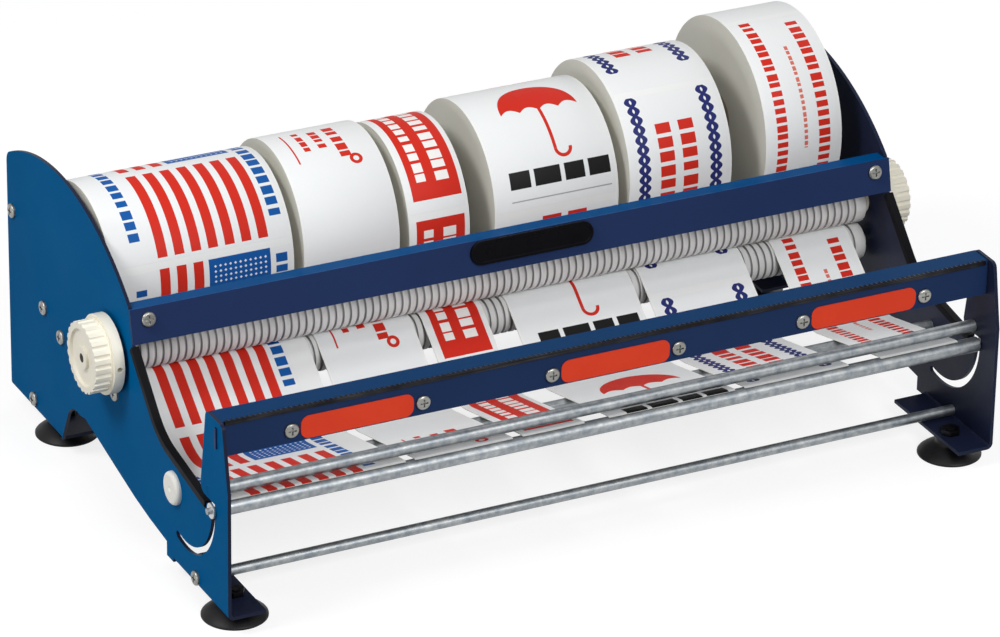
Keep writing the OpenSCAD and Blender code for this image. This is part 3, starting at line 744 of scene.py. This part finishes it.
def makeRigid(node, d):
    mats = [finish[d["main"]]]
    if "edge" in d:
        mats.append(finish[d["edge"]])
    bm = softened(node, d)
    for way, other in d.get("facing", []):
        mats.append(finish[other])
        for f in bm.faces:
            if f.material_index == 0 and f.normal.dot(Vector(way)) > edgeSet["facing"]:
                f.material_index = len(mats) - 1
    if "hollow" in d:  # painted shade: dark in the dimple in the middle of a knob's face
        other, wide = d["hollow"]
        mats.append(finish[other])
        at = middle(node)[0]
        for f in bm.faces:
            reach = max(math.hypot(v.co.y - at.y, v.co.z - at.z) for v in f.verts) * 1000
            if reach < wide and f.normal.x * at.x > 0:
                f.material_index = len(mats) - 1
    addPiece(node, "dressed", bm, mats, weigh=True)


for node, d in rigidSet.items():
    makeRigid(node, d)
print("rigid pieces dressed:", len(rigidSet))


# turned pieces: a closed profile of (along, radius) in mm, spun about an axis
def turned(profile, axisPoint, axis, steps):
    bm = bmesh.new()
    a = Vector(axis)
    lift = Vector((0, 0, 1)) if abs(a.z) < 0.5 else Vector((1, 0, 0))
    ring = [bm.verts.new(Vector(axisPoint) + a * (s * 0.001) + lift * (r * 0.001)) for s, r in profile]
    edges = [bm.edges.new(p) for p in zip(ring, ring[1:] + ring[:1])]
    bmesh.ops.spin(bm, geom=ring + edges, cent=axisPoint, axis=axis, angle=2 * math.pi, steps=steps,
                   use_merge=True, use_duplicate=False)
    bmesh.ops.remove_doubles(bm, verts=bm.verts, dist=1e-7)
    bmesh.ops.recalc_face_normals(bm, faces=bm.faces)
    return bm


sleeveSet = {
    "feed_sleeve": 5.0, "idler_sleeve": 4.06,  # bores in mm
    "pitch": 4.5, "lip": 0.4, "steps": 48,
    # share of the pitch and depth below the rib's top
    "rib": [(0.06, 0.2), (0.10, 0.9), (0.12, 1.5), (0.33, 1.5),
            (0.35, 0.9), (0.39, 0.2), (0.50, 0.0), (0.95, 0.0)],
    "groove": 0.5,  # faces lower than this get the painted shade of the grooves
}


def makeSleeve(node):
    s = sleeveSet
    at, half = middle(node)
    pitch, r, bore, lip = s["pitch"], half.z, s[node], s["lip"]
    ribs = int((2 * half.x - pitch) // pitch)
    start = -ribs * pitch / 2
    line = [(-half.x, bore), (-half.x, r - lip), (-half.x + lip, r)]
    for k in range(ribs):  # rounded rib tops between flat grooves
        line += [(start + (k + share) * pitch, r - deep) for share, deep in s["rib"]]
    line += [(half.x - lip, r), (half.x, r - lip), (half.x, bore)]
    bm = turned(line, at, (1, 0, 0), s["steps"])
    for f in bm.faces:
        mid = f.calc_center_median() - at
        deep = r - math.hypot(mid.y, mid.z) * 1000
        f.material_index = 1 if deep > s["groove"] and abs(mid.x) * 1000 < half.x - s["groove"] else 0
    addPiece(node, "ribbed", bm, [finish["ribRubber"], finish["ribGrooveShade"]], 50.0)


makeSleeve("feed_sleeve")
makeSleeve("idler_sleeve")
print("ribbed sleeves turned")

cupSet = {
    "line": [  # height and radius of the outline, mm
        (2.1, 0.0), (2.2, 4.0), (1.5, 9.0), (0.5, 13.8), (0.05, 15.6), (0.0, 16.2),
        (0.0, 18.0), (0.22, 18.3), (0.9, 18.3), (1.35, 18.0), (1.9, 17.4), (2.6, 16.6),
        (3.5, 15.4), (4.6, 13.6), (5.6, 11.7), (6.4, 10.2), (7.0, 9.0), (7.6, 8.2),
        (8.2, 8.0), (10.2, 8.0), (10.5, 7.7), (10.5, 3.02), (5.5, 3.02), (5.5, 0.0),
    ],
    "steps": 72,
}


def makeCup(node):
    at = middle(node)[0]
    bm = turned(cupSet["line"], (at.x, at.y, 0.0), (0, 0, 1), cupSet["steps"])
    addPiece(node, "moulded", bm, [finish["blackRubber"]], 40.0)


for node in ("front_left_cup", "front_right_cup", "rear_left_cup", "rear_right_cup"):
    makeCup(node)
print("suction cups turned")

# label strips and rolls share one running length: 0 where a strip leaves its roll
pathSet = {
    "bendAt": (-0.0574, 0.0860), "bendR": 0.030,  # slack bend, m
    "mid": 0.0005, "thick": 0.0004,  # paper's middle above a roller, its thickness, m
    "nip": -97.0, "end": 106.0,  # where it leaves the feed roller and ends on the peel rod, degrees
    "steps": (26, 14, 18, 14),
}
for word, node in (("feed", "feed_sleeve"), ("idler", "idler_sleeve"), ("peel", "swing_peel_rod")):
    at, half = middle(node)
    pathSet[word + "At"] = (at.y, at.z)
    pathSet[word + "R"] = half.z * 0.001


def lean(reach, up, ahead):  # slope of a straight run that crosses from one circle to the next
    return math.degrees(math.asin(reach / math.hypot(ahead, up)) - math.atan2(up, ahead))


def stripPath(k):
    p = pathSet
    cy, cz = rollSet[k]["at"]
    first = math.degrees(math.atan2(cz - p["feedAt"][1], cy - p["feedAt"][0]))
    dy, dz = p["bendAt"][0] - p["idlerAt"][0], p["bendAt"][1] - p["idlerAt"][1]
    fall = lean(p["idlerR"] + p["mid"] + p["bendR"], dz, -dy)
    ey, ez = p["peelAt"][0] - p["bendAt"][0], p["peelAt"][1] - p["bendAt"][1]
    rise = lean(p["peelR"] + p["mid"] + p["bendR"], -ez, -ey)
    runs = [(p["feedAt"], p["feedR"] + p["mid"], first, p["nip"]),
            (p["idlerAt"], p["idlerR"] + p["mid"], p["nip"] + 180, 90 + fall),
            (p["bendAt"], p["bendR"], fall - 90, -90 - rise),
            (p["peelAt"], p["peelR"] + p["mid"], 90 - rise, p["end"])]
    pts = []
    for (c, r, a0, a1), n in zip(runs, p["steps"]):
        for i in range(n + 1):
            a = math.radians(a0 + (a1 - a0) * i / n)
            pts.append((c[0] + r * math.cos(a), c[1] + r * math.sin(a)))
    return pts


def makeStrip(k, mats):
    r = rollSet[k]
    bm = bmesh.new()
    run = bm.verts.layers.float.new("runLength")
    length, last, line = 0.0, None, []
    for y, z in stripPath(k):
        if last:
            length += math.hypot(y - last[0], z - last[1])
        last = (y, z)
        vert = bm.verts.new((r["left"] * 0.001, y, z))
        vert[run] = length
        line.append(vert)
    edges = [bm.edges.new(pair) for pair in zip(line, line[1:])]
    made = bmesh.ops.extrude_edge_only(bm, edges=edges)["geom"]
    farSide = [v for v in made if isinstance(v, bmesh.types.BMVert)]
    bmesh.ops.translate(bm, verts=farSide, vec=(r["wide"] * 0.001, 0, 0))
    uvLayer = bm.loops.layers.uv.new("run")
    for f in bm.faces:
        for corner in f.loops:
            corner[uvLayer].uv = (corner.vert.co.x - (r["left"] - r["astray"]) * 0.001, corner.vert[run])
    bm.normal_update()
    flat = min(bm.faces, key=lambda f: f.calc_center_median().z)
    if flat.normal.z < 0:  # printed side up in the bay
        bmesh.ops.reverse_faces(bm, faces=bm.faces)
    piece = addPiece("label_strip_%d" % (k + 1), "printed", bm, mats, 60.0)
    wall = piece.modifiers.new("paper", "SOLIDIFY")
    wall.thickness = pathSet["thick"]
    wall.offset = 0.0
    wall.material_offset = 1
    wall.material_offset_rim = 1


# soft edge of a roll, mm and shares of it
woundSet = {"lip": 0.35, "lipMid": 0.3, "outside": 0.8, "steps": 144}


def makeRoll(k, mats):
    r, s = rollSet[k], woundSet
    cy, cz = r["at"]
    a, b, big, bore, lip = r["left"], r["left"] + r["wide"], r["r"], coreSet["out"], s["lip"]
    cut = s["lipMid"] * lip
    line = [(a, bore), (a, big - lip), (a + cut, big - cut), (a + lip, big), (b - lip, big),
            (b - cut, big - cut), (b, big - lip), (b, bore)]
    bm = turned(line, (0.0, cy, cz), (1, 0, 0), s["steps"])
    uvLayer = bm.loops.layers.uv.new("run")
    toFeed = math.atan2(pathSet["feedAt"][1] - cz, pathSet["feedAt"][0] - cy)
    rim = (big - s["outside"] * lip) * 0.001
    for f in bm.faces:
        mid = f.calc_center_median()
        outside = math.hypot(mid.y - cy, mid.z - cz) > rim and abs(f.normal.x) < 0.9
        f.material_index = 0 if outside else 1
        turn = (toFeed - math.atan2(mid.z - cz, mid.y - cy)) % (2 * math.pi)
        for corner in f.loops:
            co = corner.vert.co
            here = (toFeed - math.atan2(co.z - cz, co.y - cy)) % (2 * math.pi)
            if here - turn > math.pi:
                here -= 2 * math.pi
            elif turn - here > math.pi:
                here += 2 * math.pi
            corner[uvLayer].uv = (co.x - a * 0.001, -here * big * 0.001)
    addPiece("label_roll_%d" % (k + 1), "wound", bm, mats, 40.0)


coreSet = {"out": 15.2, "bore": 12.7, "play": 0.02, "lip": 0.3, "steps": 96}


def makeCore(k, mat):
    r, s = rollSet[k], coreSet
    a, b, lip = r["left"], r["left"] + r["wide"], s["lip"]
    out, bore = s["out"] - s["play"], s["bore"]
    line = [(a, out), (a, bore + lip), (a + lip, bore), (b - lip, bore), (b, bore + lip), (b, out)]
    bm = turned(line, (0.0, *r["at"]), (1, 0, 0), s["steps"])
    addPiece("roll_core_%d" % (k + 1), "board", bm, [mat], 40.0)


designs = [stripePrint, slipPrint, panelPrint, shelterPrint, ropePrint, columnPrint]
back = linerBack("linerBack")
board = cardboard("coreBoard")
for k, design in enumerate(designs):
    printed = labelMaterial("label%d" % (k + 1), design, rollSet[k])
    side = woundSide("woundSide%d" % (k + 1), rollSet[k])
    makeStrip(k, [printed, back])
    makeRoll(k, [printed, side])
    makeCore(k, board)
print("strips, rolls and cores built")

# stage and light
stageSet = {"size": 14.0, "tone": (0.26, 0.26, 0.26), "glow": 0.80, "sky": 0.135}
lampSet = {
    "overhead": {"place": (-0.5, -0.2, 2.0), "aim": (0.0, 0.0, 0.1), "size": (1.4, 1.2), "power": 7.0},
    "frontKey": {"place": (0.15, -1.95, 1.5), "aim": (0.0, 0.0, 0.1), "size": (1.1, 0.8), "power": 32.0},
    "leftHigh": {"place": (-1.4, -0.1, 1.6), "aim": (0.0, 0.0, 0.12), "size": (0.6, 0.6), "power": 19.5},
    "leftLow": {"place": (-1.6, -0.3, 0.12), "aim": (-0.2, 0.0, 0.08), "size": (0.7, 0.3), "power": 4.5},
    "rightBack": {"place": (1.7, 0.8, 0.9), "aim": (0.0, 0.0, 0.1), "size": (0.9, 0.6), "power": 9.0},
}


def seenRay(t):  # 1 where the white room is looked at, straight or in metal
    ray = t.nodes.new("ShaderNodeLightPath").outputs
    seen = calc(t, "MAXIMUM", ray["Is Camera Ray"], ray["Is Glossy Ray"])
    return calc(t, "MAXIMUM", seen, ray["Is Transmission Ray"])


def makeFloor(s):
    bm = bmesh.new()
    bmesh.ops.create_grid(bm, x_segments=1, y_segments=1, size=s["size"])
    mesh = bpy.data.meshes.new("floor")
    bm.to_mesh(mesh)
    bm.free()
    floor = bpy.data.objects.new("floor", mesh)
    scene.collection.objects.link(floor)
    m = bpy.data.materials.new("floorPaper")
    m.use_nodes = True
    t = m.node_tree
    t.nodes.clear()
    out = t.nodes.new("ShaderNodeOutputMaterial")
    plain = t.nodes.new("ShaderNodeBsdfDiffuse")
    plain.inputs["Color"].default_value = (*s["tone"], 1.0)
    glow = t.nodes.new("ShaderNodeEmission")
    t.links.new(calc(t, "MULTIPLY", seenRay(t), s["glow"]), glow.inputs["Strength"])
    both = t.nodes.new("ShaderNodeAddShader")
    t.links.new(plain.outputs[0], both.inputs[0])
    t.links.new(glow.outputs[0], both.inputs[1])
    t.links.new(both.outputs[0], out.inputs["Surface"])
    mesh.materials.append(m)
    floor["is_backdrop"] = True


def makeWorld(level):
    w = bpy.data.worlds.new("studio")
    scene.world = w
    w.use_nodes = True
    t = w.node_tree
    t.nodes.clear()
    out = t.nodes.new("ShaderNodeOutputWorld")
    sky = t.nodes.new("ShaderNodeBackground")
    t.links.new(calc(t, "MULTIPLY_ADD", seenRay(t), 1.0 - level, level), sky.inputs["Strength"])
    t.links.new(sky.outputs[0], out.inputs["Surface"])


def softLight(name, d):
    data = bpy.data.lights.new(name, "AREA")
    data.shape = "RECTANGLE"
    data.size, data.size_y = d["size"]
    data.energy = d["power"]
    lamp = bpy.data.objects.new(name, data)
    scene.collection.objects.link(lamp)
    lamp.location = d["place"]
    lamp.rotation_euler = (Vector(d["aim"]) - Vector(d["place"])).to_track_quat("-Z", "Y").to_euler()


makeFloor(stageSet)
makeWorld(stageSet["sky"])
for name, d in lampSet.items():
    softLight(name, d)
print("stage and light set")

low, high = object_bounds()
print("size", [round(h - l, 4) for l, h in zip(low, high)])
